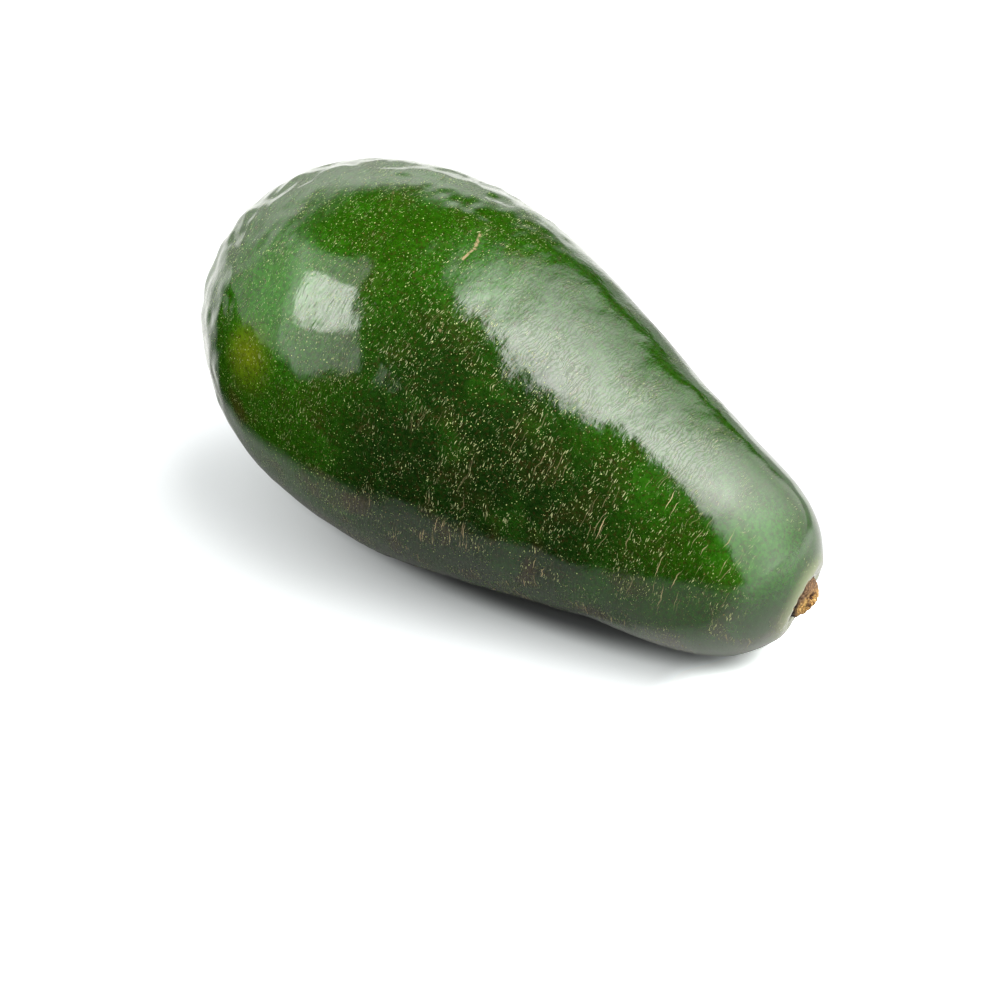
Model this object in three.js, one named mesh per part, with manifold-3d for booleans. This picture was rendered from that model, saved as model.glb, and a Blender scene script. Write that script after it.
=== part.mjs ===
// A whole avocado of the smooth green, pear-shaped kind, lying on its side, with the corky stub
// of its fruit stalk. Millimetres, +Z up. The stem end points along +X, and the origin is the
// middle of the bounding box on the surface that the fruit rests on.

import * as THREE from 'three';
import { mergeVertices } from 'three/addons/utils/BufferGeometryUtils.js';
import Module from 'manifold-3d';

// ---- driving dimensions, in millimetres and degrees ----

const LENGTH = 130; // blossom end to stem end, along the core line
const MID_RADIUS = 31.8; // radius half way along
// The radius at t, from -1 at the blossom end to +1 at the stem end, is
// MID_RADIUS * sqrt(1 - t^2) * (1 + linear * t + cubic * t^3 + quartic * t^4).
const TAPER = { linear: -0.485, cubic: 0.395, quartic: 0.29 };
const BOW = { side: -0.8, up: 0.6 }; // how far the core line bows away from straight
const DIP_DEG = 13; // the core line runs down towards the neck as the fruit lies
const FLAT_DEPTH = 0.7; // how much of the underside is pressed flat where it rests

const NECK_END_RADIUS = 22; // the round end of the neck, which carries the stalk
const CAVITY = { depth: 1.8, radius: 5.5 }; // shallow dimple round the stalk
// What is left of the stalk. It grows a little to one side of the neck's end, and leans that way.
const STUB = { radius: 4.1, length: 5.4, sunk: 2.0, slant: 0.16 };
const STUB_PLACE_DEG = { side: 9, down: 4 };
const STUB_LEAN_DEG = { side: 6, up: 4 };
const CLEARANCE = 0.3; // gap between the stub and the skin that grips it

const FRUIT_RINGS = 58; // facets along the fruit
const FRUIT_SIDES = 48; // facets round the fruit
const STUB_SIDES = 28; // facets round the stub

const wasm = await Module();
wasm.setup();

// ---- geometry helpers ----

/** A closed three.js geometry as a manifold solid. */
function toSolid(geometry) {
  const bare = geometry.clone();
  bare.deleteAttribute('normal');
  bare.deleteAttribute('uv');
  const merged = mergeVertices(bare, 1e-4);
  return new wasm.Manifold(new wasm.Mesh({
    numProp: 3,
    vertProperties: new Float32Array(merged.attributes.position.array),
    triVerts: new Uint32Array(merged.index.array),
  }));
}

/** A manifold solid back as a three.js geometry. */
function toGeometry(solid) {
  const mesh = solid.getMesh();
  const geometry = new THREE.BufferGeometry();
  geometry.setAttribute('position', new THREE.BufferAttribute(mesh.vertProperties, 3));
  geometry.setIndex(new THREE.BufferAttribute(mesh.triVerts, 1));
  geometry.computeVertexNormals();
  return geometry;
}

/** Moves every vertex of a geometry by a function that changes a Vector3 in place. */
function reshape(geometry, move) {
  const position = geometry.attributes.position;
  const point = new THREE.Vector3();
  for (let i = 0; i < position.count; i += 1) {
    point.fromBufferAttribute(position, i);
    move(point);
    position.setXYZ(i, point.x, point.y, point.z);
  }
  return geometry;
}

// ---- where the stalk grows, before the fruit is laid down: +X is the core line ----

const radians = THREE.MathUtils.degToRad;
const turn = {
  y: (degrees) => new THREE.Matrix4().makeRotationY(radians(degrees)),
  z: (degrees) => new THREE.Matrix4().makeRotationZ(radians(degrees)),
};
const along = (distance) => new THREE.Matrix4().makeTranslation(distance, 0, 0);

// Its +X points out of the neck's round end where the stalk grows; its origin is that end's centre.
const neckEnd = along(LENGTH - NECK_END_RADIUS)
  .multiply(turn.z(STUB_PLACE_DEG.side))
  .multiply(turn.y(STUB_PLACE_DEG.down));
const stalkLine = new THREE.Ray(
  new THREE.Vector3().setFromMatrixPosition(neckEnd),
  new THREE.Vector3().setFromMatrixColumn(neckEnd, 0),
);

// ---- the skin's shape, along the core line from the blossom end at 0 to the stem end ----

function skinRadius(t) {
  const taper = 1 + TAPER.linear * t + TAPER.cubic * t ** 3 + TAPER.quartic * t ** 4;
  return MID_RADIUS * Math.sqrt(Math.max(0, 1 - t * t)) * taper;
}

/** The fruit's outline turned round the Y axis. Rings crowd towards both ends. */
function turnedFruit() {
  const outline = [];
  for (let i = 0; i <= FRUIT_RINGS; i += 1) {
    const t = -Math.cos((Math.PI * i) / FRUIT_RINGS);
    const atPole = i === 0 || i === FRUIT_RINGS;
    outline.push(new THREE.Vector2(atPole ? 0 : skinRadius(t), (LENGTH / 2) * (1 + t)));
  }
  return new THREE.LatheGeometry(outline, FRUIT_SIDES);
}

/** Presses the dimple in round the stalk, then bows the core line. */
function growFruit(point) {
  const t = (2 * point.x) / LENGTH - 1;
  if (t > 0) {
    const fromStalk = stalkLine.closestPointToPoint(point, new THREE.Vector3()).distanceTo(point);
    const depth = CAVITY.depth * Math.exp(-((fromStalk / CAVITY.radius) ** 2));
    point.addScaledVector(stalkLine.direction, -depth);
  }
  point.y += BOW.side * (1 - t * t);
  point.z += BOW.up * (1 - t * t);
}

/**
 * The stub: a corky button, a little lobed, narrower at its broken end, which slants so that the
 * lower side is the shorter one. Its base is at y = 0.
 */
function stubGeometry() {
  const { radius, length, slant } = STUB;
  const outline = [
    new THREE.Vector2(0, 0),
    new THREE.Vector2(0.9 * radius, 0),
    new THREE.Vector2(0.93 * radius, 0.3 * length),
    new THREE.Vector2(0.97 * radius, 0.55 * length),
    new THREE.Vector2(0.9 * radius, 0.8 * length),
    new THREE.Vector2(0.72 * radius, 0.95 * length),
    new THREE.Vector2(0.5 * radius, length),
    new THREE.Vector2(0, 0.96 * length),
  ];
  const button = new THREE.LatheGeometry(outline, STUB_SIDES);
  return reshape(button, (point) => {
    const angle = Math.atan2(point.z, point.x);
    const lobe = 1 + 0.03 * Math.cos(3 * angle + 0.6) + 0.02 * Math.cos(5 * angle);
    point.x *= lobe;
    point.z *= lobe;
    point.y *= 1 + (slant * point.z) / radius;
  });
}

// ---- how the pieces lie ----

const dip = turn.y(DIP_DEG);
const fruitOnCore = turnedFruit().rotateZ(-Math.PI / 2);
const wholeFruit = reshape(fruitOnCore, growFruit).applyMatrix4(dip);
wholeFruit.computeBoundingBox();
const lift = -(wholeFruit.boundingBox.min.z + FLAT_DEPTH);
wholeFruit.translate(0, 0, lift);

// The stalk's own frame: +Y out of the fruit, its zero at the bottom of the socket it grew from.
const stalkFrame = new THREE.Matrix4()
  .makeTranslation(0, 0, lift)
  .multiply(dip)
  .multiply(neckEnd)
  .multiply(along(NECK_END_RADIUS - CAVITY.depth - STUB.sunk))
  .multiply(turn.z(STUB_LEAN_DEG.side - 90))
  .multiply(new THREE.Matrix4().makeRotationX(radians(STUB_LEAN_DEG.up)));

const socketRadius = STUB.radius + CLEARANCE;
const socketDepth = STUB.sunk + 2 * CAVITY.depth;
const socket = new THREE.CylinderGeometry(socketRadius, socketRadius, socketDepth, STUB_SIDES)
  .translate(0, socketDepth / 2 - CLEARANCE, 0)
  .applyMatrix4(stalkFrame);

const room = 3 * LENGTH;
const aboveTheSurface = new THREE.BoxGeometry(room, room, room).translate(0, 0, room / 2);

const fruitGeometry = toGeometry(
  toSolid(wholeFruit).subtract(toSolid(socket)).intersect(toSolid(aboveTheSurface)),
);
const stubSolid = stubGeometry().applyMatrix4(stalkFrame);

// ---- the scene graph ----

const skin = new THREE.MeshStandardMaterial({ color: 0x1c4f1b, roughness: 0.28, metalness: 0 });
const cork = new THREE.MeshStandardMaterial({ color: 0x8a5526, roughness: 0.85, metalness: 0 });

const fruit = new THREE.Mesh(fruitGeometry, skin);
fruit.name = 'fruit';

const stemStub = new THREE.Mesh(stubSolid, cork);
stemStub.name = 'stem_stub';

const avocado = new THREE.Group();
avocado.add(fruit, stemStub);

const box = new THREE.Box3().setFromObject(avocado);
const middle = box.getCenter(new THREE.Vector3());
avocado.position.set(-middle.x, -middle.y, 0);

export default avocado;
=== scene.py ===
# %% [markdown]
# # A whole avocado, smooth and green
#
# A pear-shaped avocado lies on its side on a pale table. It grew as one piece, so there are only
# two things to make: the fruit in its glossy, speckled skin, and the corky stub of the stalk in
# the dimple at the end of the neck. With so few pieces the work is in the surface. Its low lumps
# and wrinkles bend the reflections of the lamps, and its specks and scars sit on top of that.

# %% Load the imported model, which every piece has to fit
import math

import bpy
import numpy as np
from mathutils import Matrix, Vector


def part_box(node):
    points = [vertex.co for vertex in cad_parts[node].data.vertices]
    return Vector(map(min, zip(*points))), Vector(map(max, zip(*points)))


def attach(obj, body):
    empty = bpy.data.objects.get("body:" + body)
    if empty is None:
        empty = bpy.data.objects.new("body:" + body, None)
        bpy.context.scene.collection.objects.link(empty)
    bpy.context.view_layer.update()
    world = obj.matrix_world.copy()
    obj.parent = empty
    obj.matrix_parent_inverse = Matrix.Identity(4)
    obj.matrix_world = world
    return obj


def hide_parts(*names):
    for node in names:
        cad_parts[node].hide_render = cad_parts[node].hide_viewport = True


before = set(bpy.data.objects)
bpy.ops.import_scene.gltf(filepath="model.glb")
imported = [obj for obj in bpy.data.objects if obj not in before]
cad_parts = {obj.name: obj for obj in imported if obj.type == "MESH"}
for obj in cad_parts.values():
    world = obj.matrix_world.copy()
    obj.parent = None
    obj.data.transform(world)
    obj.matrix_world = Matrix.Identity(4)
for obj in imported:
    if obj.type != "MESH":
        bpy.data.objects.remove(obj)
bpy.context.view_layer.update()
MM = 0.001

# %% [markdown]
# ## The camera
#
# A long lens from a bit over half a metre keeps the perspective calm, as a photographer does with
# small products. The place comes from two angles and a distance round the point that is looked
# at, because those are easy to read and to change, where raw coordinates aren't.

# %% Camera
AIM = Vector((2.0, -7.7, 18.7)) * MM
CAMERA_AZIMUTH = 37.5
CAMERA_ELEVATION = 33.0
CAMERA_DISTANCE = 550 * MM
LENS = 110.7


def direction(azimuth, elevation):
    """Unit vector from the fruit: azimuth 0 is -Y and turns towards +X, elevation is up from level."""
    a, e = math.radians(azimuth), math.radians(elevation)
    return Vector((math.sin(a) * math.cos(e), -math.cos(a) * math.cos(e), math.sin(e)))


def face_towards(thing, place, target, roll=0.0):
    """Puts a camera or a lamp at a place and points its -Z at the target, rolled by some degrees."""
    turn = (Vector(target) - Vector(place)).to_track_quat("-Z", "Y").to_matrix().to_4x4()
    thing.matrix_world = Matrix.Translation(place) @ turn @ Matrix.Rotation(math.radians(roll), 4, "Z")


camera = bpy.data.objects.new("camera", bpy.data.cameras.new("camera"))
camera.data.lens = LENS
camera.data.sensor_width = 36
camera.data.clip_start = 0.01
bpy.context.collection.objects.link(camera)
face_towards(camera, AIM + direction(CAMERA_AZIMUTH, CAMERA_ELEVATION) * CAMERA_DISTANCE, AIM)
bpy.context.scene.camera = camera
bpy.context.scene.view_settings.view_transform = "Standard"
print("camera at, mm:", [round(v / MM) for v in camera.matrix_world.translation])

# %% [markdown]
# ## Node trees in few words
#
# Materials are trees of small nodes. One helper adds a node, sets its options and plugs its
# inputs. Short ones on top of it do arithmetic on numbers, masks and vectors, so that each
# material below reads as a list of steps.


# %% Helpers that add and wire nodes
def add(tree, kind, inputs=None, **options):
    """Adds a node. An input's value may be a socket, which is linked, or a plain value."""
    node = tree.nodes.new("ShaderNode" + kind)
    for name, value in options.items():
        setattr(node, name, value)
    for key, value in (inputs or {}).items():
        if isinstance(value, bpy.types.NodeSocket):
            tree.links.new(value, node.inputs[key])
        else:
            node.inputs[key].default_value = value
    return node


def ramp(tree, value, low, high, to_low=0.0, to_high=1.0):
    """A smooth step: to_low where value is under low, to_high where it is over high."""
    node = add(
        tree, "MapRange", {"Value": value, "From Min": low, "From Max": high,
                           "To Min": to_low, "To Max": to_high},
        interpolation_type="SMOOTHSTEP",
    )
    return node.outputs["Result"]


def math_node(tree, operation, *values):
    """Arithmetic on two numbers, or on more by taking them in one after the other."""
    total = values[0]
    for value in values[1:]:
        total = add(tree, "Math", {0: total, 1: value}, operation=operation).outputs["Value"]
    return total


def times(tree, *values):
    """The product of several numbers or masks."""
    return math_node(tree, "MULTIPLY", *values)


def plus(tree, *values):
    """The sum of several numbers."""
    return math_node(tree, "ADD", *values)


def most(tree, *values):
    """The largest of several numbers, which lays masks together."""
    return math_node(tree, "MAXIMUM", *values)


def vector_node(tree, operation, a, b=(0.0, 0.0, 0.0)):
    """Arithmetic on one or two vectors that gives a vector."""
    return add(tree, "VectorMath", {0: a, 1: b}, operation=operation).outputs["Vector"]


def measure(tree, operation, a, b=(0.0, 0.0, 0.0)):
    """Arithmetic on one or two vectors that gives a number."""
    return add(tree, "VectorMath", {0: a, 1: b}, operation=operation).outputs["Value"]


def scaled(tree, vector, factor):
    """A vector or colour times a number."""
    return add(tree, "VectorMath", {0: vector, "Scale": factor}, operation="SCALE").outputs["Vector"]


def part_of(tree, vector, axis):
    """One of a vector's parts, X, Y or Z."""
    return add(tree, "SeparateXYZ", {0: vector}).outputs[axis]


def noise(tree, place, scale, detail):
    """Noise from 0 to 1, with scale bumps to the unit of place."""
    return add(tree, "TexNoise", {"Vector": place, "Scale": scale, "Detail": detail}).outputs["Fac"]


def blend(tree, share, under, over, how="MIX"):
    """Lays one colour over another by a share from 0 to 1."""
    node = add(tree, "Mix", {0: share, 6: under, 7: over}, data_type="RGBA", blend_type=how)
    return node.outputs[2]


def new_material(name):
    """An empty material with its Principled shader, as (material, tree, shader)."""
    material = bpy.data.materials.new(name)
    material.use_nodes = True
    tree = material.node_tree
    tree.nodes.clear()
    shader = add(tree, "BsdfPrincipled")
    add(tree, "OutputMaterial", {"Surface": shader.outputs["BSDF"]})
    return material, tree, shader


# %% [markdown]
# ## The studio
#
# A glossy dark fruit shows little else than what is round it, so the room is built for its
# reflections. It could be lamps in the air, but then each one's size, place and power depend on
# each other. Here the lights are painted on the sky instead, where a brightness is simply what
# the fruit will mirror: a big soft light from the floor to overhead at the right, a smaller one
# with a hot middle at the left, and a pale wall low down behind. All else is black, which is what
# keeps the skin a deep green.

# %% Table
TABLE_SIZE = 8.0
TABLE_GRAIN = 60.0
PAPER_LOW, PAPER_HIGH = (0.78, 0.81, 0.84, 1), (0.80, 0.83, 0.85, 1)
BOUNCE_GREY = (0.32, 0.325, 0.33, 1)

bpy.ops.mesh.primitive_plane_add(size=TABLE_SIZE)
table = bpy.context.object
table.name = "table"
table_material, tree, shader = new_material("matt_pale_table")
grain = add(tree, "TexNoise", {"Scale": TABLE_GRAIN, "Detail": 3.0}).outputs["Fac"]
paper = blend(tree, ramp(tree, grain, 0.3, 0.7), PAPER_LOW, PAPER_HIGH)

# What the fruit mirrors of it is painted light and shade: bright paper to the left, behind and to the
# right, painted dark in front, where other things stood, and painted half shade close by, where the fruit
# itself stands in the light. Some of it fades or grows with distance.
# The table is on the frame's z = 0 and the fruit over its origin, so a place is also a direction.
FOOTPRINT = (90 * MM, 58 * MM)
spot = add(tree, "NewGeometry").outputs["Position"]
way = vector_node(tree, "NORMALIZE", spot)
distance = measure(tree, "LENGTH", spot)


def oval(size):
    """How far out a place is, as a share of an oval round the origin with half sizes along X and Y."""
    return measure(tree, "LENGTH", vector_node(tree, "MULTIPLY", spot, (1 / size[0], 1 / size[1], 0.0)))


def sector(azimuth, edge, full, value):
    """The value on the part of the table that lies in a direction from the fruit, which it
    reaches where the cosine to that direction is full, from nothing where it is edge."""
    return ramp(tree, measure(tree, "DOT_PRODUCT", way, direction(azimuth, 0)), edge, full, 0.0, value)


fading = ramp(tree, distance, 150 * MM, 210 * MM, 1.0, 0.38)
growing = ramp(tree, distance, 120 * MM, 250 * MM, 1.0, 1.6)
mirrored = most(
    tree,
    ramp(tree, oval(FOOTPRINT), 0.85, 1.1, 0.20, 0.0),
    times(tree, sector(105, 0.62, 0.86, 0.50), growing),
    times(tree, sector(150, 0.62, 0.80, 0.50), fading),
    times(tree, sector(60, 0.80, 0.90, 0.20), fading),
    sector(-125, 0.68, 0.86, 0.62),
)

# A contact shadow is painted on the paper right under the fruit, where it touches, and painted light makes
# the paper lighter beyond the neck.
CONTACT = (44 * MM, 13 * MM)
CONTACT_SHADE, NECK_LIGHT = 0.22, 2.4
NECK_FROM, NECK_TO = 43 * MM, 56 * MM
painted_neck_light = ramp(tree, part_of(tree, spot, "X"), NECK_FROM, NECK_TO, 1.0, NECK_LIGHT)
painted_contact_shadow = ramp(tree, oval(CONTACT), 0.90, 1.35, CONTACT_SHADE, 1.0)
paper = scaled(tree, paper, times(tree, painted_contact_shadow, painted_neck_light))

# The light it gives to the fruit from below is that of a mid grey, or the belly would look chalky.
rays = add(tree, "LightPath").outputs
look = blend(tree, rays["Is Glossy Ray"], BOUNCE_GREY, mirrored)
tree.links.new(blend(tree, rays["Is Camera Ray"], look, paper), shader.inputs["Base Color"])
shader.inputs["Roughness"].default_value = 0.9
shader.inputs["Specular IOR Level"].default_value = 0.0
table.data.materials.append(table_material)
print("table", TABLE_SIZE, "m wide")

# %% The painted sky
world = bpy.data.worlds.new("studio")
bpy.context.scene.world = world
world.use_nodes = True
sky = world.node_tree
sky.nodes.clear()
look = add(sky, "TexCoord").outputs["Generated"]


def towards(azimuth, elevation):
    """The cosine between the direction looked in and a fixed one."""
    return measure(sky, "DOT_PRODUCT", look, direction(azimuth, elevation))


def screen(azimuth, elevation):
    """Where the direction looked in meets a flat screen one unit away in front of a fixed one:
    right and up, each divided by forward. Nothing behind counts."""
    forward = most(sky, towards(azimuth, elevation), 0.05)
    right = math_node(sky, "DIVIDE", towards(azimuth + 90, 0), forward)
    up = math_node(sky, "DIVIDE", towards(azimuth, elevation + 90), forward)
    return right, up


def frame_mask(right, up, x_range, y_range, soft):
    """1 inside a rectangle on a screen, fading over a soft edge."""
    return times(
        sky,
        ramp(sky, right, x_range[0] - soft, x_range[0] + soft),
        ramp(sky, right, x_range[1] - soft, x_range[1] + soft, 1.0, 0.0),
        ramp(sky, up, y_range[0] - soft, y_range[0] + soft),
        ramp(sky, up, y_range[1] - soft, y_range[1] + soft, 1.0, 0.0),
    )


def lobe(azimuth, elevation, strength, edge=0.55):
    """A soft round glow: strength * ((c - edge) / (1 - edge))^2, where c is the cosine to its middle."""
    share = add(sky, "MapRange", {"Value": towards(azimuth, elevation), "From Min": edge}).outputs["Result"]
    return times(sky, math_node(sky, "POWER", share, 2.0), strength)


level = part_of(sky, look, "Z")

# The big light at the right stands between two upright edges. Its far edge fades out slowly, and
# it is made of an even part and of glows, the strongest high up at the back.
upright = times(
    sky,
    ramp(sky, towards(140, 0), 0.0, 0.09),
    ramp(sky, towards(152, 14), -0.03, 0.06),
    ramp(sky, level, -0.06, 0.0),
)
GLOWS = ((80, 50, 1.25), (148, 62, 3.0), (100, 82, 2.2, 0.80), (98, 2, 1.5, 0.75), (62, 68, 1.7, 0.87))
glows = plus(sky, *[lobe(*glow) for glow in GLOWS])
glows = times(sky, glows, ramp(sky, towards(94, 0), 0.0, 0.32))
right_light = times(sky, upright, plus(sky, glows, ramp(sky, towards(94, 0), -0.05, 0.09)))

# The smaller light at the left is tipped on a corner. It has a hot middle and a paler wall beyond.
x, y = screen(-45, 30)
half = math.sqrt(0.5)
across = times(sky, plus(sky, x, y), half)
upward = times(sky, math_node(sky, "SUBTRACT", y, x), half)
outer = times(sky, frame_mask(across, upward, (-0.30, 0.43), (-0.52, 0.62), 0.07), 1.4)
middle = times(sky, frame_mask(across, upward, (-0.11, 0.40), (-0.16, 0.29), 0.025), 5.3)
left_wall = times(sky, frame_mask(across, upward, (-1.05, -0.20), (-0.38, 0.75), 0.15), 0.6)

# The pale wall low down behind gets brighter upwards and then ends.
horizon = times(
    sky,
    ramp(sky, towards(-120, 0), 0.62, 0.80),
    ramp(sky, level, 0.05, 0.42, 0.62, 1.25),
    ramp(sky, level, 0.42, 0.66, 1.0, 0.0),
)
lights = plus(sky, right_light, outer, middle, most(sky, left_wall, horizon))

# The camera itself sees a plain pale backdrop.
BACKDROP = 1.1
seen = add(sky, "LightPath").outputs["Is Camera Ray"]
strength = add(sky, "Mix", {0: seen, 2: lights, 3: BACKDROP}).outputs[0]
backdrop = add(sky, "Background", {"Color": (1.0, 0.99, 0.96, 1), "Strength": strength})
add(sky, "OutputWorld", {"Surface": backdrop.outputs["Background"]})
print("sky nodes:", len(sky.nodes))

# %% A wide soft lamp overhead that fills the shadows, and isn't itself mirrored
FILL_SIZE = 3.0
FILL_POWER = 34.0
FILL_PLACE = (-0.2, -0.7, 1.9)

fill = bpy.data.objects.new("fill_lamp", bpy.data.lights.new("fill_lamp", "AREA"))
fill.data.shape = "SQUARE"
fill.data.size = FILL_SIZE
fill.data.energy = FILL_POWER
fill.visible_glossy = False
bpy.context.collection.objects.link(fill)
face_towards(fill, FILL_PLACE, (0, 0, 0))
print("fill lamp", FILL_SIZE, "m wide,", FILL_POWER, "W")

# %% [markdown]
# ## The fruit's plain form
#
# An avocado is close to a turned shape: a profile spun round its core. A sphere stretched along
# the core is too even, so its radius is multiplied by a polynomial that thins it towards the
# neck. The same few numbers drive the solid model, which keeps the two shapes together.

# %% The dimensions that the solid model is driven by
LENGTH = 130 * MM
MID_RADIUS = 31.8 * MM
TAPER = (-0.485, 0.395, 0.29)
BOW_SIDE, BOW_UP = -0.8 * MM, 0.6 * MM
DIP = math.radians(13)
FLAT_DEPTH = 0.7 * MM
NECK_END_RADIUS = 22 * MM
STALK_SIDE, STALK_DOWN = math.radians(9), math.radians(4)
CAVITY_DEPTH, CAVITY_RADIUS = 1.8 * MM, 5.5 * MM
STUB_RADIUS, STUB_LENGTH, STUB_SUNK, STUB_SLANT = 4.1 * MM, 5.4 * MM, 2.0 * MM, 0.16
STUB_LEAN_SIDE, STUB_LEAN_UP = math.radians(6), math.radians(4)


def skin_radius(t):
    """Radius at t, from -1 at the blossom end to 1 at the stem end:
    MID_RADIUS * sqrt(1 - t^2) * (1 + a t + b t^3 + c t^4)."""
    a, b, c = TAPER
    return MID_RADIUS * np.sqrt(np.clip(1 - t * t, 0, None)) * (1 + a * t + b * t**3 + c * t**4)


def place_on_core(points):
    """How far along the core a point is, from -1 to 1."""
    return np.clip(2 * points[..., 0] / LENGTH - 1, -1, 1)


print("greatest radius, mm:", round(float(skin_radius(np.linspace(-1, 1, 400)).max()) / MM, 2))

# %% [markdown]
# ## Where the stalk grows
#
# The stalk doesn't sit exactly on the end of the core. It is a few degrees to one side, and the
# stub leans a little further. A chain of small turns and moves says so, each in the frame of the
# one before, in the same order as in the solid model.

# %% The stalk's line and the stub's own frame, with the core along X
neck_end = (
    Matrix.Translation((LENGTH - NECK_END_RADIUS, 0, 0))
    @ Matrix.Rotation(STALK_SIDE, 4, "Z")
    @ Matrix.Rotation(STALK_DOWN, 4, "Y")
)
neck_centre = np.array(neck_end.translation)
stalk_way = np.array(neck_end.col[0][:3])
stub_frame = (
    neck_end
    @ Matrix.Translation((NECK_END_RADIUS - CAVITY_DEPTH - STUB_SUNK, 0, 0))
    @ Matrix.Rotation(STUB_LEAN_SIDE - math.pi / 2, 4, "Z")
    @ Matrix.Rotation(STUB_LEAN_UP, 4, "X")
)


def off_line(points, start, way):
    """Distance of each point from the line that leaves start along the unit vector way."""
    out = points - start
    return np.linalg.norm(out - (out @ way)[..., None] * way, axis=-1)


print("stalk grows towards", np.round(stalk_way, 3))

# %% [markdown]
# ## A grid that closes neatly
#
# A turned shape is a grid of rings and spokes with a pole at each end. The dimple and the lip
# round the stalk need even rings of their own, so the last rings swing over until the pole is in
# the middle of the stalk. Each point that swung is then pushed back onto the same skin, by
# halving steps along its ray from the centre of the neck's round end.

# %% Rings and spokes
RINGS, SPOKES = 340, 288
STEM_CROWDING = 0.12
SWING_FROM = 0.4
RAY_STEPS = 40


def smooth_step(value, low, high):
    """0 under low, 1 over high, and 3 x^2 - 2 x^3 in between."""
    x = np.clip((value - low) / (high - low), 0, 1)
    return x * x * (3 - 2 * x)


def bell(distance, width):
    """exp(-(distance / width)^2), which is 1 at no distance and fades to nothing."""
    return np.exp(-((distance / width) ** 2))


def turned_form(ring, spoke):
    """The point at ring angle phi, 0 to pi, and spoke angle: t = -cos(phi) along the core,
    then skin_radius(t) out from it."""
    t = -np.cos(ring) + 0 * spoke
    radius = skin_radius(t)
    return np.stack([LENGTH / 2 * (1 + t), radius * np.cos(spoke), radius * np.sin(spoke)], axis=-1)


def back_to_skin(way):
    """Where rays from the neck's centre along unit vectors meet the plain skin."""
    near, far = np.zeros(way.shape[:-1]), np.full(way.shape[:-1], LENGTH)
    for _ in range(RAY_STEPS):
        middle = (near + far) / 2
        point = neck_centre + middle[..., None] * way
        inside = np.hypot(point[..., 1], point[..., 2]) < skin_radius(place_on_core(point))
        inside &= point[..., 0] < LENGTH
        near, far = np.where(inside, middle, near), np.where(inside, far, middle)
    return neck_centre + near[..., None] * way


def swing_to_stalk(points):
    """Turns the rings at the neck's end about its centre, by an angle that grows to the whole
    angle between core and stalk at the pole, and puts them back on the skin."""
    hinge = np.cross((1, 0, 0), stalk_way)
    whole = math.asin(np.linalg.norm(hinge))
    hinge = hinge / np.linalg.norm(hinge)
    share = smooth_step(place_on_core(points), SWING_FROM, 1)
    angle = (share * whole)[..., None]
    out = points - neck_centre
    turned = (
        out * np.cos(angle)
        + np.cross(hinge, out) * np.sin(angle)
        + hinge * (out @ hinge)[..., None] * (1 - np.cos(angle))
    )
    swung = back_to_skin(turned / np.linalg.norm(turned, axis=-1, keepdims=True))
    return np.where(share[..., None] > 0, swung, points)


steps = np.linspace(0, 1, RINGS + 2)[1:-1, None]
ring_angle = math.pi * (steps + STEM_CROWDING * np.sin(math.pi * steps))
spoke_angle = np.linspace(0, 2 * math.pi, SPOKES, endpoint=False)[None, :]
plain = swing_to_stalk(turned_form(ring_angle, spoke_angle))
poles = np.array([[0.0, 0.0, 0.0], back_to_skin(stalk_way[None])[0]])
print("grid", plain.shape, "stem pole, mm:", np.round(poles[1] / MM, 2))

# %% [markdown]
# ## Lumps, dents and wrinkles
#
# The skin isn't smooth like a ball's. Broad swellings come from the flesh below, shallow dents
# from where it pressed on a branch or a neighbour, and fine wrinkles run round the fruit. They
# are mostly a few tenths of a millimetre high, yet they decide how the reflections wander, so they
# are real shape and not only shading. Noise made of many cosine waves is smooth everywhere, has no seam,
# and can be drawn out round the fruit by slowing it down in two of its three directions.


# %% Relief
def waves(points, wavelength, seed, around=1.0, count=48):
    """Smooth noise with a spread of 1: the sum of cos(k . p + shift) over random directions of k,
    times sqrt(2 / count). around under 1 makes it longer round the core than along it."""
    rng = np.random.default_rng(seed)
    ways = rng.normal(size=(count, 3))
    ways *= 2 * math.pi / wavelength / np.linalg.norm(ways, axis=1, keepdims=True)
    ways *= (1, around, around)
    shifts = rng.uniform(0, 2 * math.pi, count)
    total = np.zeros(points.shape[:-1])
    for way, shift in zip(ways, shifts):
        total += np.cos(points @ way + shift)
    return total * math.sqrt(2 / count)


def dents(points, count, seed, size, depth):
    """Shallow round dents at random points of the grid: each is -depth * exp(-(distance / size)^2)."""
    rng = np.random.default_rng(seed)
    flat = points.reshape(-1, 3)
    room = np.hypot(points[..., 1], points[..., 2]).ravel()
    middles = flat[rng.choice(len(flat), count, replace=False, p=room / room.sum())]
    total = np.zeros(points.shape[:-1])
    for middle in middles:
        wide, deep = rng.uniform(*size), rng.uniform(*depth)
        total -= deep * np.exp(-(((points - middle) ** 2).sum(axis=-1)) / wide**2)
    return total


def grid_normals(points):
    """Unit normals of a grid whose spokes close, from the slopes along both of its ways. They point
    outward where the spokes turn right-handed about the way from the first ring to the last."""
    along = np.gradient(points, axis=0)
    round_ = np.roll(points, -1, axis=1) - np.roll(points, 1, axis=1)
    normal = np.cross(round_, along)
    return normal / np.linalg.norm(normal, axis=-1, keepdims=True)


LOW_SIDE = np.array([0.0, 0.64, -0.77])
BACK_RIM = np.array([0.0, 0.64, 0.77])


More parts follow.
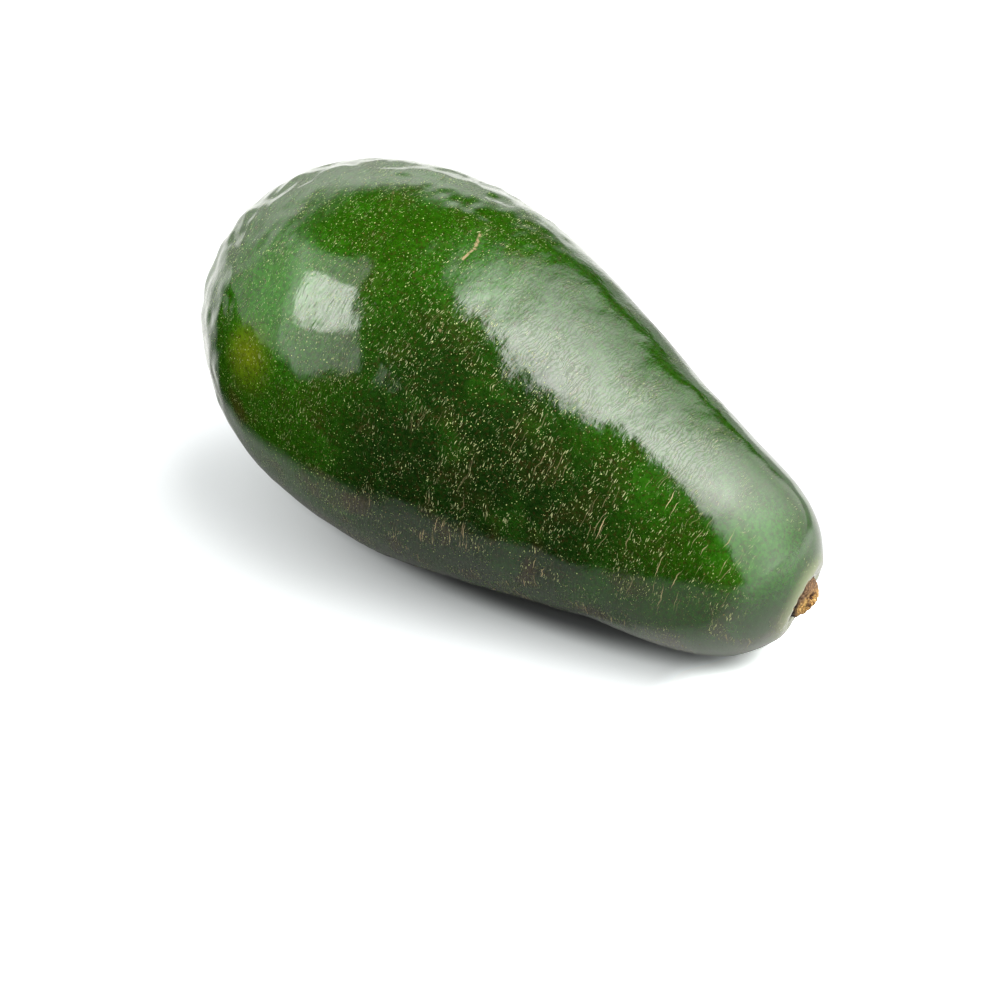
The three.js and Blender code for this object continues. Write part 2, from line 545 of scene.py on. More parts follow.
def relief(points):
    """How far the skin stands out from the plain form: two broad waves and two fine ones all
    round, dents on the low side, and roughness there, at the blossom end and on the upper back."""
    x, y, z = np.moveaxis(points / MM, -1, 0)
    # The seeds 117 and 121 were picked, out of some hundreds, for the way the reflections fall.
    height = 0.16 * waves(points, 30 * MM, seed=117)
    height += 0.065 * waves(points, 12 * MM, seed=121, around=0.8)
    height += 0.018 * waves(points, 5.5 * MM, seed=8, around=0.7)
    height += 0.008 * waves(points, 3.0 * MM, seed=13, around=0.6)
    low_side = smooth_step(points @ LOW_SIDE / MM, -4, 8)
    height += low_side * dents(points, 90, 21, size=(3.0 * MM, 6.0 * MM), depth=(0.04, 0.16))
    rim = smooth_step(points @ BACK_RIM / MM / np.hypot(y, z), 0.70, 0.86) * smooth_step(-x, -72, -40)
    calm_neck = 1 - 0.6 * smooth_step(x, 50, 95)
    rough = np.maximum(smooth_step(-x, -26, -12), np.maximum(low_side * calm_neck, rim))
    height += rough * 0.080 * waves(points, 5.5 * MM, seed=17, around=0.8)
    height += rough * 0.050 * waves(points, 2.8 * MM, seed=18, around=0.7)
    height += rough * dents(points, 520, 22, size=(1.1 * MM, 2.4 * MM), depth=(0.03, 0.16))
    return height * MM


lift = relief(plain)
skin = plain + grid_normals(plain) * lift[..., None]
print("relief, mm:", round(float(lift.min()) / MM, 2), "to", round(float(lift.max()) / MM, 2))

# %% [markdown]
# ## Both ends of the fruit
#
# Round the stalk the skin dips, then rises to a soft puckered lip, and drops steeply to the stub
# that it grips. At the other end a scar the size of a lentil is left from the flower.

# %% Dimple, lip and socket at the stem end, and the flower's scar
LIP_RADIUS, LIP_WIDTH, LIP_HEIGHT = 7.2 * MM, 1.9 * MM, 0.50 * MM
SOCKET_RADIUS, SOCKET_DEPTH = 4.35 * MM, 1.7 * MM
SCAR_RADIUS, SCAR_DEPTH = 1.5 * MM, 0.35 * MM
SOCKET_EDGE = 0.25 * MM
SCAR_RIM_RADIUS, SCAR_RIM_WIDTH, SCAR_RIM_HEIGHT = 2.4 * MM, 0.9 * MM, 0.12 * MM
PUCKERS, PUCKER_RADIUS, PUCKER_WIDTH, PUCKER_HEIGHT = 11, 5.6 * MM, 1.3 * MM, 0.10 * MM


def shape_ends(points):
    """Moves the skin along the stalk by the dimple, the lip and the socket, which are bells and
    a step of the distance from the stalk's line, and dents the blossom end."""
    from_stalk = off_line(points, neck_centre, stalk_way)
    at_stem = place_on_core(points) > 0
    spin = np.arctan2(points[..., 2] - neck_centre[2], points[..., 1] - neck_centre[1])
    pucker = np.cos(PUCKERS * spin + 2 * np.cos(spin)) * bell(from_stalk - PUCKER_RADIUS, PUCKER_WIDTH)
    rise = LIP_HEIGHT * bell(from_stalk - LIP_RADIUS, LIP_WIDTH) + PUCKER_HEIGHT * pucker
    rise -= CAVITY_DEPTH * bell(from_stalk, CAVITY_RADIUS)
    rise -= SOCKET_DEPTH * smooth_step(SOCKET_RADIUS - from_stalk, -SOCKET_EDGE, SOCKET_EDGE)
    points = points + np.where(at_stem, rise, 0)[..., None] * stalk_way
    from_tip = np.hypot(points[..., 1], points[..., 2])
    scar = SCAR_DEPTH * bell(from_tip, SCAR_RADIUS)
    scar -= SCAR_RIM_HEIGHT * bell(from_tip - SCAR_RIM_RADIUS, SCAR_RIM_WIDTH)
    return points + np.where(at_stem, 0, scar)[..., None] * np.array([1.0, 0, 0])


def bow(points):
    """Bends the core line by BOW * (1 - t^2)."""
    bend = 1 - place_on_core(points) ** 2
    return points + bend[..., None] * np.array([0, BOW_SIDE, BOW_UP])


skin = bow(shape_ends(skin))
skin_poles = bow(shape_ends(poles))

# %% [markdown]
# ## Laid down
#
# The fruit lies on its full belly with the neck dipping. The solid model's box says where it
# lies, so the plain form is laid in that box and everything else follows by the same move. Under
# it the skin is pressed flat. A plain cut at the table's height would leave a hard edge, so a
# smooth version is used, which also keeps every point above the table.

# %% The move from core frame to table
lay = Matrix.Rotation(DIP, 4, "Y")


def apply(matrix, points):
    """A 4x4 matrix on an array of points."""
    m = np.array(matrix)
    return points @ m[:3, :3].T + m[:3, 3]


laid = apply(lay, bow(turned_form(ring_angle, spoke_angle)))
fruit_low, fruit_high = (np.array(corner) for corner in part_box("fruit"))
shift = np.array([
    fruit_low[0] - laid[..., 0].min(),
    (fruit_low[1] + fruit_high[1]) / 2 - (laid[..., 1].min() + laid[..., 1].max()) / 2,
    -FLAT_DEPTH - laid[..., 2].min(),
])
to_table = Matrix.Translation(shift) @ lay
print("move, mm:", np.round(shift / MM, 2))

PRESS_SOFTNESS = 0.12 * MM


def press_flat(points):
    """z becomes (z + sqrt(z^2 + softness^2)) / 2, which never goes under the table."""
    pressed = points.copy()
    z = points[..., 2]
    pressed[..., 2] = (z + np.sqrt(z * z + PRESS_SOFTNESS**2)) / 2
    return pressed


# %% [markdown]
# ## From arrays to a mesh
#
# Both pieces are rings and spokes closed by two poles, so one function serves them. The faces are
# index arithmetic on whole arrays, and are turned over where the spokes turn left-handed. The map
# that unrolls the grid over a full square is kept for painting the finish into an image later.


# %% Mesh helper
def closed_mesh(name, grid, ends):
    """A mesh of quads between rings, and fans of triangles to a pole at each end."""
    rings, spokes = grid.shape[:2]
    points = np.concatenate([grid.reshape(-1, 3), ends])
    ring = np.arange(rings)[:, None]
    spoke = np.arange(spokes)[None, :]
    number = ring * spokes + spoke
    beside = ring * spokes + (spoke + 1) % spokes
    quads = np.stack([number[:-1], beside[:-1], beside[1:], number[1:]], axis=-1).reshape(-1, 4)
    first, last = rings * spokes, rings * spokes + 1
    cap = np.stack([np.full(spokes, first), beside[0], number[0]], axis=-1)
    cup = np.stack([np.full(spokes, last), number[-1], beside[-1]], axis=-1)
    faces = [*quads.tolist(), *cap.tolist(), *cup.tolist()]

    mesh = bpy.data.meshes.new(name)
    mesh.from_pydata(points.astype(np.float32), [], faces)
    mesh.polygons.foreach_set("use_smooth", np.ones(len(faces), dtype=bool))

    # The unrolled map: spokes go across and rings go up, and the poles are the lower and upper edge.
    left = np.arange(spokes) / spokes
    centre, right = left + 0.5 / spokes, left + 1 / spokes
    up = (np.arange(rings) + 1) / (rings + 1)
    quad_map = np.empty((rings - 1, spokes, 4, 2))
    quad_map[..., 0] = np.stack([left, right, right, left], axis=-1)
    quad_map[..., :2, 1] = up[:-1, None, None]
    quad_map[..., 2:, 1] = up[1:, None, None]
    bottom, low, high, top = (np.full(spokes, level) for level in (0.0, up[0], up[-1], 1.0))
    cap_map = np.stack([centre, bottom, right, low, left, low], axis=-1)
    cup_map = np.stack([centre, top, left, high, right, high], axis=-1)
    uv = mesh.uv_layers.new(name="OFBake")
    unrolled = np.concatenate([corners.ravel() for corners in (quad_map, cap_map, cup_map)])
    uv.data.foreach_set("uv", unrolled.astype(np.float32))
    mesh.update()

    piece = bpy.data.objects.new(name, mesh)
    bpy.context.collection.objects.link(piece)
    return piece


def keep(piece, name, values):
    """Stores one number a point on the mesh, for the material to read."""
    attribute = piece.data.attributes.new(name, "FLOAT", "POINT")
    attribute.data.foreach_set("value", np.asarray(values, dtype=np.float32))


CM3 = 1e-6


def face_outward(piece):
    """Turns all faces over if they look inward, which a negative volume shows. The volume is the
    sum of a . (b x c) / 6 over triangles with corners a, b and c."""
    mesh = piece.data
    mesh.calc_loop_triangles()
    corners = np.empty(len(mesh.loop_triangles) * 3, dtype=np.int32)
    mesh.loop_triangles.foreach_get("vertices", corners)
    points = np.empty(len(mesh.vertices) * 3)
    mesh.vertices.foreach_get("co", points)
    a, b, c = points.reshape(-1, 3)[corners.reshape(-1, 3)].transpose(1, 0, 2)
    volume = np.einsum("ij,ij->", a, np.cross(b, c)) / 6
    if volume < 0:
        mesh.flip_normals()
    triangles = len(corners) // 3
    print(piece.name, "triangles", triangles, "volume, cm3:", round(abs(volume) / CM3, 2))


# %% The fruit
laid_skin, laid_poles = (press_flat(apply(to_table, points)) for points in (skin, skin_poles))
fruit = closed_mesh("avocado_fruit", laid_skin, laid_poles)
every_point = np.concatenate([plain.reshape(-1, 3), poles])
at_stem = place_on_core(every_point) > 0
FAR_AWAY = 1.0
from_stalk = np.where(at_stem, off_line(every_point, neck_centre, stalk_way), FAR_AWAY)
keep(fruit, "from_stalk", from_stalk / MM)
keep(fruit, "from_blossom", np.linalg.norm(every_point, axis=-1) / MM)
keep(fruit, "along_core", place_on_core(every_point))
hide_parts("fruit")
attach(fruit, "root")
face_outward(fruit)

# %% [markdown]
# ## The stub of the stalk
#
# When an avocado is picked, the stalk is clipped or snaps and a short stub stays on. Its side is
# dark bark, wrinkled along its length. Its end is torn open, so it is rough, tan inside, and has
# a pit where the soft core was. Bark and torn end are one surface here: an outline spun round the
# stalk's own line, with furrows on the side and crumbs on the end. How much of each applies goes
# by how far up the outline a point is.

# %% The stub's surface
STUB_RINGS, STUB_SPOKES = 190, 230
# Half the torn stub's outline, from the middle of its root to the middle of its end, each point as
# shares of the stub's radius and length. The bark bulges by a few hundredths, then the end rounds over.
OUTLINE = np.array([
    (0.00, 0.00), (0.88, 0.00), (0.94, 0.18), (0.99, 0.36), (0.97, 0.45), (0.92, 0.53),
    (0.84, 0.62), (0.73, 0.71), (0.58, 0.80), (0.40, 0.87), (0.20, 0.92), (0.00, 0.93),
])
BREAK_FROM, BREAK_TO = 0.58, 0.78
SLANT_WAY = np.array([-0.66, 0.75])
PITH_PLACE, PITH_RADIUS, PITH_DEPTH = (0.25, 0.45), 0.55 * MM, 0.8 * MM
GROWTH_SPACING, GROWTH_HEIGHT = 0.36 * MM, 0.035 * MM
CRUMB_CUT = 0.15 * MM


def along_outline(steps, softness=7):
    """Radius and height fractions along the outline by its length, rounded off by averaging
    each point with its neighbours."""
    lengths = np.concatenate([[0], np.cumsum(np.hypot(*np.diff(OUTLINE, axis=0).T))])
    fine = np.stack([np.interp(steps * lengths[-1], lengths, OUTLINE[:, k]) for k in (0, 1)])
    padded = np.pad(fine, ((0, 0), (softness, softness)), mode="edge")
    window = np.ones(2 * softness + 1) / (2 * softness + 1)
    return np.stack([np.convolve(row, window, mode="valid") for row in padded])


# Each kind of furrow: half turns round the stub, drift with height in radians a mm, and size.
FURROWS = ((9, 0.5, 1.0), (14, -0.8, 0.9), (23, 1.1, 0.6), (37, -1.7, 0.35))


def furrows(angle, height):
    """Wrinkles along the stalk: the sum of cosines of many turns of the angle, each shifted a
    little with height, folded so that grooves are sharp and ridges are round."""
    total = np.zeros(np.broadcast(angle, height).shape)
    for turns, drift, size in FURROWS:
        total += size * np.abs(np.cos(turns * angle / 2 + drift * height / MM + turns))
    return total / sum(size for *_, size in FURROWS)


stub_steps = np.linspace(0, 1, STUB_RINGS + 2)[1:-1]
radius_share, height_share = along_outline(stub_steps)[..., None]
spin = np.linspace(0, 2 * math.pi, STUB_SPOKES, endpoint=False)[None, :]
uneven = 1 + 0.03 * np.cos(3 * spin + 0.6) + 0.02 * np.cos(5 * spin)
stub_radius = STUB_RADIUS * radius_share * uneven
stub_height = STUB_LENGTH * height_share + 0 * spin
slant = SLANT_WAY[0] * np.cos(spin) + SLANT_WAY[1] * np.sin(spin)
stub_height = stub_height * (1 + STUB_SLANT * slant * radius_share)
torn = smooth_step(stub_height / STUB_LENGTH - 0.22 * slant, BREAK_FROM, BREAK_TO)
stub_radius = stub_radius * (1 + 0.09 * (1 - torn) * (furrows(spin, stub_height) - 0.6))
stub = np.stack([stub_radius * np.cos(spin), stub_height, stub_radius * np.sin(spin)], axis=-1)

crumbs = 0.10 * MM * np.abs(waves(stub, 2.2 * MM, seed=31))
crumbs += 0.12 * MM * np.abs(waves(stub, 0.9 * MM, seed=32))
crumbs += 0.09 * MM * np.abs(waves(stub, 0.45 * MM, seed=33))
bark = 0.05 * MM * waves(stub, 1.2 * MM, seed=34) + 0.03 * MM * waves(stub, 0.6 * MM, seed=35)
from_pith = np.linalg.norm(stub[..., ::2] - STUB_RADIUS * np.array(PITH_PLACE), axis=-1)
pit = torn * PITH_DEPTH * bell(from_pith, PITH_RADIUS)
rings_of_growth = stub_height / GROWTH_SPACING + 0.4 * waves(stub, 2.5 * MM, seed=36)
rings_of_growth = np.cos(2 * math.pi * rings_of_growth)
# The stub's own frame has +Y out of the fruit, and its spokes turn left-handed about it. So its
# grid normals point inward, and bark, crumbs and growth rings are cut into the plain form.
stub_cut = torn * (CRUMB_CUT - crumbs) + (1 - torn) * bark + GROWTH_HEIGHT * rings_of_growth
stub = stub + grid_normals(stub) * stub_cut[..., None] - pit[..., None] * np.array([0, 1.0, 0])
print("stub grid", stub.shape, "torn share", round(float(torn.mean()), 2))

# %% The stub
stub_poles = np.stack([stub[0].mean(axis=0), stub[-1].mean(axis=0)])
stub_to_table = to_table @ stub_frame
stem_stub = closed_mesh(
    "avocado_stem_stub", apply(stub_to_table, stub), apply(stub_to_table, stub_poles)
)
keep(stem_stub, "growth", np.concatenate([rings_of_growth.ravel(), [0, 0]]))
keep(stem_stub, "torn", np.concatenate([torn.ravel(), [0, 1]]))
keep(stem_stub, "hollow", np.concatenate([(crumbs / crumbs.max() + pit / PITH_DEPTH).ravel(), [0, 0.5]]))
keep(stem_stub, "out_of_socket", np.concatenate([stub_height.ravel(), [0, STUB_LENGTH]]) / MM)
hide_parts("stem_stub")
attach(stem_stub, "root")
face_outward(stem_stub)

# %% [markdown]
# ## A grain that both finishes share
#
# Skin and bark both have a fine uneven grain. It is made once, as a node group with named
# sockets, and placed in both materials with its own size and stretch.


# %% The grain group
def grain_group():
    """Two layers of noise, one three times finer than the other, as one value round 0.5."""
    tree = bpy.data.node_groups.new("living_grain", "ShaderNodeTree")
    for name, kind in (("Place", "Vector"), ("Scale", "Float"), ("Detail", "Float")):
        tree.interface.new_socket(name, in_out="INPUT", socket_type="NodeSocket" + kind)
    tree.interface.new_socket("Grain", in_out="OUTPUT", socket_type="NodeSocketFloat")
    place, scale, detail = tree.nodes.new("NodeGroupInput").outputs[:3]
    coarse = noise(tree, place, scale, detail)
    fine = noise(tree, place, times(tree, scale, 3.1), detail)
    both = plus(tree, times(tree, coarse, 0.65), times(tree, fine, 0.35))
    result = tree.nodes.new("NodeGroupOutput")
    tree.links.new(both, result.inputs["Grain"])
    return tree


GRAIN = grain_group()


def grain_value(tree, place, scale, detail=2.0):
    """Places the grain group and gives its value."""
    inputs = {"Place": place, "Scale": scale, "Detail": detail}
    return add(tree, "Group", inputs, node_tree=GRAIN).outputs["Grain"]


def stored(tree, name):
    """A number kept on the mesh."""
    return add(tree, "Attribute", attribute_name=name).outputs["Fac"]


print("shared group:", GRAIN.name)

# %% [markdown]
# ## The skin
#
# Avocado skin is a clear wax over a deep green that varies from one patch to the next. Breathing
# pores show as pale yellow-green dots. Where the fruit grew fast they tore into short streaks
# that run round it, and on the underside of the neck they healed into tan, corky scratches. All
# three are cells of a Voronoi pattern: each cell has one mark at its heart, a random number
# decides whether it is there and how big it is, and squeezing the space along the core draws the
# dots out into streaks round it.

# %% Space in millimetres with the core along X
TO_MM = (1 / MM, 1 / MM, 1 / MM)
WANDER_MM = 2.0

skin_material, tree, shader = new_material("avocado_skin")
here = add(tree, "TexCoord").outputs["Object"]
back = to_table.inverted()
move_back = {"Location": back.translation / MM, "Rotation": back.to_euler(), "Scale": TO_MM}
core = add(tree, "Mapping", {"Vector": here, **move_back}).outputs["Vector"]
along = stored(tree, "along_core")

# The same space with its lines bent a little, so that streaks don't run dead straight.
wander = add(tree, "TexNoise", {"Vector": core, "Scale": 0.25, "Detail": 2.0}).outputs["Color"]
wander = vector_node(tree, "SUBTRACT", wander, (0.5, 0.5, 0.5))
bent = vector_node(tree, "ADD", core, scaled(tree, wander, WANDER_MM))


def marks(place, width, length, crowding, share, soft=0.5):
    """Marks of a width along the core and a length round it, in mm. Each is at the heart of a
    Voronoi cell, whose size is the mark's over twice the crowding, and only a share of the cells
    has one. Returns the mask, and another random number of the cell."""
    cell = (width / crowding / 2, length / crowding / 2, length / crowding / 2)
    squeezed = add(tree, "Mapping", {"Vector": place, "Scale": [1 / side for side in cell]})
    cells = add(tree, "TexVoronoi", {"Vector": squeezed.outputs["Vector"], "Scale": 1.0}, feature="F1")
    luck = add(tree, "SeparateColor", {0: cells.outputs["Color"]}).outputs
    there = math_node(tree, "LESS_THAN", luck[0], share)
    reach = times(tree, plus(tree, luck[1], 0.5), crowding)
    heart = times(tree, reach, 1 - soft)
    mask = ramp(tree, cells.outputs["Distance"], heart, reach, 1.0, 0.0)
    return times(tree, mask, there), luck[2]


def near(centre, radius, edge):
    """1 within a radius of a point of the core space, all in mm, fading over an edge."""
    return ramp(tree, measure(tree, "DISTANCE", core, centre), radius - edge, radius + edge, 1.0, 0.0)


def stroke(start, end, half_width):
    """1 on a line between two points in mm, fading to 0 at half its width. The nearest point of the
    line is start + t * way, with t = (core - start) . way / |way|^2 kept within 0 and 1."""
    way = Vector(end) - Vector(start)
    out = vector_node(tree, "SUBTRACT", core, start)
    t = measure(tree, "DOT_PRODUCT", out, way)
    t = add(tree, "MapRange", {"Value": t, "From Max": way.length_squared}).outputs["Result"]
    apart = measure(tree, "DISTANCE", out, scaled(tree, way, t))
    return ramp(tree, apart, 0.4 * half_width, half_width, 1.0, 0.0)


# %% Where the marks crowd together
on_neck = ramp(tree, along, -0.5, 0.3)
patches = noise(tree, core, 0.11, 2.0)
clusters = noise(tree, bent, 0.16, 1.0)
underside = ramp(tree, part_of(tree, core, "Z"), 8.0, -8.0)

# An arc of streaks round the girth, and clusters of scratches along the neck, as places in mm.
ARC = ((51, -2, 35), (53, -11, 33), (54, -19, 29), (59, -21, 27))
NECK_CLUSTERS = ((107, -14, 16), (117, -14, 12), (112, -19, 4), (101, -19, 10))
crowded = most(tree, near(ARC[0], 2.5, 2.0), *[near(place, 3.0, 2.5) for place in ARC[1:]])
scratched = most(tree, *[near(place, 4.0, 3.0) for place in NECK_CLUSTERS])

# On the neck most marks are on the front. Behind, and towards its end, they keep to the clusters.
gathered = ramp(tree, clusters, 0.50, 0.60)
off_neck = ramp(tree, on_neck, 0.3, 0.8, 1.0, 0.0)
to_front = ramp(tree, part_of(tree, core, "Y"), -8.0, -16.0, 0.12, 1.0)
allowed = most(tree, to_front, times(tree, gathered, 0.35), off_neck)
allowed = times(tree, allowed, most(tree, gathered, ramp(tree, along, 0.62, 0.80, 1.0, 0.35)))

# %% Pores, streaks and scratches: width and length in mm, crowding, and share of cells with one
dots, dot_luck = marks(core, 0.20, 0.23, 0.165, 0.85)
dots = times(tree, dots, allowed, ramp(tree, patches, 0.30, 0.55, 0.6, 1.0))
fine_dots, fine_luck = marks(core, 0.15, 0.17, 0.20, 0.8)
fine_dots = times(tree, fine_dots, allowed, ramp(tree, clusters, 0.3, 0.6, 0.5, 1.0))

streaks, streak_luck = marks(bent, 0.12, 0.75, 0.27, 0.8)
streaked = times(tree, allowed, ramp(tree, on_neck, 0.0, 1.0, 0.45, 1.0), ramp(tree, clusters, 0.40, 0.58))
streaks = times(tree, streaks, most(tree, crowded, streaked))

scratches, scratch_luck = marks(bent, 0.14, 4.5, 0.24, 0.8)
rubbed = times(tree, on_neck, allowed, gathered, ramp(tree, underside, 0.0, 1.0, 0.25, 1.0))
scratches = times(tree, scratches, most(tree, scratched, rubbed))
print("nodes in the skin so far:", len(tree.nodes))

# %% [markdown]
# ### Colour
#
# The green is laid down in layers, broad to fine, as a painter would: two greens in broad patches, the
# darker one partly the skin's own colour and partly painted shade on the side towards the dark front, an
# olive cheek that saw more sun, a red-brown tinge where the skin was rubbed, a fine grain, and only then
# the marks on top.

# %% Greens, cheek, tinge and marks
SUNNY_GREEN = (0.014, 0.066, 0.0010, 1)
SHADY_GREEN = (0.0060, 0.024, 0.0024, 1)
LIGHT_GREEN = (0.025, 0.140, 0.0040, 1)
OLIVE = (0.11, 0.155, 0.004, 1)
RUBBED_BROWN = (0.045, 0.020, 0.007, 1)
PORE = (0.46, 0.54, 0.20, 1)
STREAK = (0.48, 0.50, 0.24, 1)
CORKY_TAN = (0.58, 0.44, 0.24, 1)
RED_SPECK = (0.16, 0.055, 0.020, 1)
SCAR_BROWN = (0.40, 0.27, 0.14, 1)
PALE_LIP = (0.42, 0.46, 0.24, 1)
CREVICE_SHADE = (0.03, 0.02, 0.008, 1)
BLOSSOM_BROWN = (0.10, 0.055, 0.02, 1)

# Places in the core space, in mm.
CHEEK = (28.0, -32.0, 7.5)
BULB_FRONT = (28.0, -26.0, 18.0)
NECK_END = (123.0, -7.0, 12.0)
UPPER_FRONT = (58.0, -9.0, 33.0)
NECK_FRONT = (104.0, -14.0, 17.0)
CRACKED = (35.0, -27.0, 21.0)
SHADY_WAY = (0.0, -0.97, 0.22)
# Three scars, made of short lines, each from one point to another and half its width, in mm.
SCARS = (
    ((51.7, -1.9, 34.5), (53.3, -5.4, 34.0), 0.50), ((53.3, -5.4, 34.0), (53.4, -8.8, 33.5), 0.34),
    ((60.3, -21.8, 26.9), (59.0, -19.8, 28.0), 0.34), ((59.1, -20.7, 27.5), (59.7, -20.9, 27.3), 0.55),
    ((33.0, -3.1, 33.3), (36.2, -8.2, 33.1), 0.40),
)

# How far a point faces the shady side, towards the dark front of the room: its direction from the core line
# against a fixed one. The darker green there is partly the skin's own colour and partly painted shade.
broad = noise(tree, core, 0.06, 4.0)
off_core = vector_node(tree, "MULTIPLY", core, (0.0, 1.0, 1.0))
facing = measure(tree, "DOT_PRODUCT", vector_node(tree, "NORMALIZE", off_core), SHADY_WAY)
facing = plus(tree, facing, times(tree, math_node(tree, "SUBTRACT", broad, 0.5), 0.55))
shady = times(
    tree,
    ramp(tree, facing, 0.45, 1.0),
    ramp(tree, along, -0.4, -0.05),
    ramp(tree, along, 0.4, 0.8, 1.0, 0.25),
)
colour = blend(tree, shady, SUNNY_GREEN, SHADY_GREEN)

# Where the green is lighter: on the bulb, at the neck's end, and weakly at two places between.
light = most(
    tree,
    near(BULB_FRONT, 10.0, 8.5),
    near(NECK_END, 7.5, 4.5),
    times(tree, near(UPPER_FRONT, 8.0, 7.0), 0.4),
    times(tree, near(NECK_FRONT, 5.0, 4.5), 0.30),
)
colour = blend(tree, times(tree, light, ramp(tree, broad, 0.3, 0.6, 0.6, 1.0)), colour, LIGHT_GREEN)
colour = blend(tree, ramp(tree, patches, 0.52, 0.75, 0.0, 0.2), colour, LIGHT_GREEN)
cheek = times(tree, near(CHEEK, 4.5, 4.5), ramp(tree, patches, 0.3, 0.6, 0.5, 1.0))
colour = blend(tree, cheek, colour, OLIVE)
tinge = times(tree, ramp(tree, clusters, 0.5, 0.72), ramp(tree, underside, 0.0, 1.0, 0.15, 0.55))
colour = blend(tree, tinge, colour, RUBBED_BROWN)

# Fine grain both ways, brighter and darker than the green it lies on, and flecks of brown.
grain = grain_value(tree, core, 1.1)
colour = scaled(tree, colour, ramp(tree, grain, 0.34, 0.66, 0.72, 1.32))
rust = noise(tree, core, 1.8, 3.0)
colour = blend(tree, ramp(tree, rust, 0.50, 0.68, 0.0, 0.40), colour, RUBBED_BROWN)

# Marks differ in strength, each by its own random number. Some of the larger pores are red.
for mask, paint in (
    (times(tree, fine_dots, ramp(tree, fine_luck, 0.2, 1.0, 0.15, 1.0)), PORE),
    (times(tree, dots, ramp(tree, dot_luck, 0.05, 0.75, 0.25, 1.0)), PORE),
    (times(tree, dots, math_node(tree, "GREATER_THAN", dot_luck, 0.86)), RED_SPECK),
    (times(tree, streaks, ramp(tree, streak_luck, 0.0, 1.0, 0.35, 1.0)), STREAK),
    (times(tree, scratches, ramp(tree, scratch_luck, 0.0, 1.0, 0.5, 1.0)), CORKY_TAN),
):
    colour = blend(tree, mask, colour, paint)
scarred = most(tree, *[stroke(*scar) for scar in SCARS])
scarred = times(tree, scarred, ramp(tree, rust, 0.42, 0.56, 0.10, 0.80))
colour = blend(tree, scarred, colour, SCAR_BROWN)

# Both ends, by distances in mm that are kept on the mesh.
from_stalk = stored(tree, "from_stalk")
lip = ramp(tree, from_stalk, 6.0, 10.5, 0.8, 0.0)
# The crevice where the skin meets the stub is painted dark, as shade.
crevice = ramp(tree, from_stalk, 4.2, 4.8, 1.0, 0.0)
blossom = ramp(tree, stored(tree, "from_blossom"), 0.9, 2.0, 1.0, 0.0)
for mask, paint in ((lip, PALE_LIP), (crevice, CREVICE_SHADE), (blossom, BLOSSOM_BROWN)):
    colour = blend(tree, mask, colour, paint)
tree.links.new(colour, shader.inputs["Base Color"])
print("nodes in the skin with its colour:", len(tree.nodes))

# %% [markdown]
# ### Gloss and fine relief
#
# The wax is glossy, but each mark breaks through it and is dull, which shows as dark dots inside
# a bright reflection. Fine ridges run round the fruit, like the lines of a fingerprint, and the
# wax is thinner along them. They only tilt the surface by a degree or two, and that is enough to
# make the edges of reflections fray.

# %% Gloss and bump
WAX_IOR = 1.5
DULL_ROUGHNESS = 0.6
COAT_ROUGHNESS = 0.09

any_mark = most(tree, dots, streaks, scratches, times(tree, fine_dots, 0.6), scarred)
cracks, _ = marks(bent, 0.14, 2.2, 0.30, 0.85)
cracks = times(tree, cracks, near(CRACKED, 9.0, 3.0))
dull = most(tree, any_mark, cracks, crevice, blossom)
wax = ramp(tree, grain, 0.3, 0.7, 0.08, 0.15)
gloss = add(tree, "Mix", {0: dull, 2: wax, 3: DULL_ROUGHNESS}).outputs[0]
tree.links.new(gloss, shader.inputs["Roughness"])
shader.inputs["IOR"].default_value = WAX_IOR
shader.inputs["Coat IOR"].default_value = WAX_IOR
shader.inputs["Coat Roughness"].default_value = COAT_ROUGHNESS

# The wax is thinner along ridges that run round the fruit, most of all towards the neck's end.
thin = add(tree, "Mapping", {"Vector": bent, "Scale": (1.0, 0.40, 0.40)}).outputs["Vector"]
wavy = {"Vector": thin, "Scale": 0.55, "Distortion": 12.0, "Detail": 3.0, "Detail Scale": 1.3}
ridges = add(tree, "TexWave", wavy, bands_direction="X").outputs["Fac"]
fibre = grain_value(tree, thin, 3.4)
thinned = times(tree, ramp(tree, ridges, 0.15, 0.85), ramp(tree, fibre, 0.38, 0.60))
bare = most(tree, ramp(tree, clusters, 0.3, 0.6, 0.7, 0.3), ramp(tree, along, 0.55, 0.75, 0.0, 0.9))
streaky = ramp(tree, thinned, 0.0, 0.25, bare, 1.0)
coat = times(tree, ramp(tree, dull, 0.0, 1.0, 1.0, 0.1), streaky)
tree.links.new(coat, shader.inputs["Coat Weight"])

# Heights are in mm: fine wrinkles, longer ripples, the ridges and the marks.
wrinkle = noise(tree, thin, 2.2, 2.0)
wrinkle = times(
    tree, wrinkle,
    ramp(tree, on_neck, 0.0, 1.0, 0.012, 0.026), ramp(tree, along, 0.55, 0.80, 1.0, 0.4),
)
ripple = noise(tree, core, 0.43, 1.2)
ripple = times(
    tree, ripple,
    ramp(tree, on_neck, 0.0, 1.0, 0.04, 0.075), ramp(tree, along, 0.55, 0.80, 1.0, 0.25),
)
height = plus(tree, wrinkle, ripple, times(tree, ridges, 0.0015), times(tree, any_mark, 0.006))
bump = add(tree, "Bump", {"Height": height, "Strength": 1.0, "Distance": MM}).outputs["Normal"]
tree.links.new(bump, shader.inputs["Normal"])
tree.links.new(bump, shader.inputs["Coat Normal"])
fruit.data.materials.append(skin_material)
print("nodes in the skin:", len(tree.nodes))
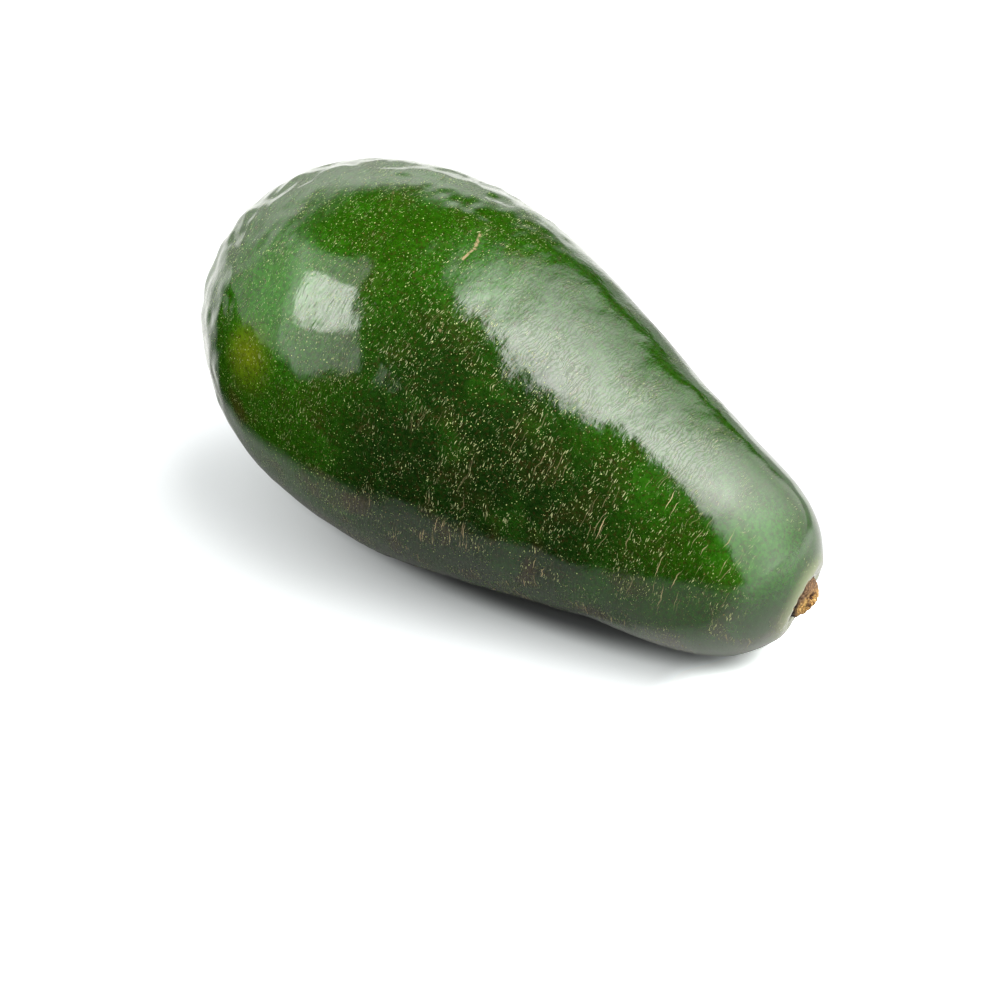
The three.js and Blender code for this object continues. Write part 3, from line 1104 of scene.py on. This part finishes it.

# %% [markdown]
# ## Bark and torn wood
#
# The stub's bark is dark purple-brown with paler ridges. Its torn end is tan, nearly orange where the wood
# is fresh, and painted dark as shade in every hollow. Both hang on numbers that were kept on the mesh when
# it was shaped, so the colour changes exactly where the form does. The foot of the stub, down in the
# socket, is painted dark as shade.

# %% The stub's material
BARK_LOW, BARK_HIGH = (0.13, 0.070, 0.034, 1), (0.36, 0.21, 0.105, 1)
WOOD_LOW, WOOD_HIGH = (0.55, 0.25, 0.05, 1), (0.97, 0.66, 0.24, 1)
HOLLOW_SHADE = (0.07, 0.024, 0.005, 1)
GROWTH_BROWN = (0.07, 0.030, 0.010, 1)
SOCKET_SHADE = (0.012, 0.007, 0.004, 1)

cork_material, tree, shader = new_material("avocado_cork")
here = add(tree, "TexCoord").outputs["Object"]
in_mm = add(tree, "Mapping", {"Vector": here, "Scale": TO_MM}).outputs["Vector"]
fibre_place = add(tree, "Mapping", {"Vector": in_mm, "Scale": (0.35, 1.0, 1.0)}).outputs["Vector"]
grain = grain_value(tree, in_mm, 1.6, 3.0)
fibre = grain_value(tree, fibre_place, 2.6, 3.0)
bark_colour = blend(tree, ramp(tree, grain, 0.35, 0.68), BARK_LOW, BARK_HIGH)
wood = blend(tree, ramp(tree, fibre, 0.38, 0.62), WOOD_LOW, WOOD_HIGH)
# The hollows of the torn end and the pith's pit are painted dark, as shade.
wood = blend(tree, ramp(tree, stored(tree, "hollow"), 0.25, 0.75), wood, HOLLOW_SHADE)
colour = blend(tree, stored(tree, "torn"), bark_colour, wood)
colour = blend(tree, ramp(tree, stored(tree, "growth"), 0.2, -0.9, 0.0, 0.6), colour, GROWTH_BROWN)
# The stub's foot, down in the socket, is painted dark as shade.
depth = ramp(tree, stored(tree, "out_of_socket"), 2.45, 3.2, 1.0, 0.0)
colour = blend(tree, depth, colour, SOCKET_SHADE)
tree.links.new(colour, shader.inputs["Base Color"])
tree.links.new(ramp(tree, grain, 0.3, 0.7, 0.55, 0.85), shader.inputs["Roughness"])
bump = add(tree, "Bump", {"Height": times(tree, fibre, 0.10), "Strength": 1.0, "Distance": MM})
tree.links.new(bump.outputs["Normal"], shader.inputs["Normal"])
stem_stub.data.materials.append(cork_material)
print("nodes in the cork:", len(tree.nodes))
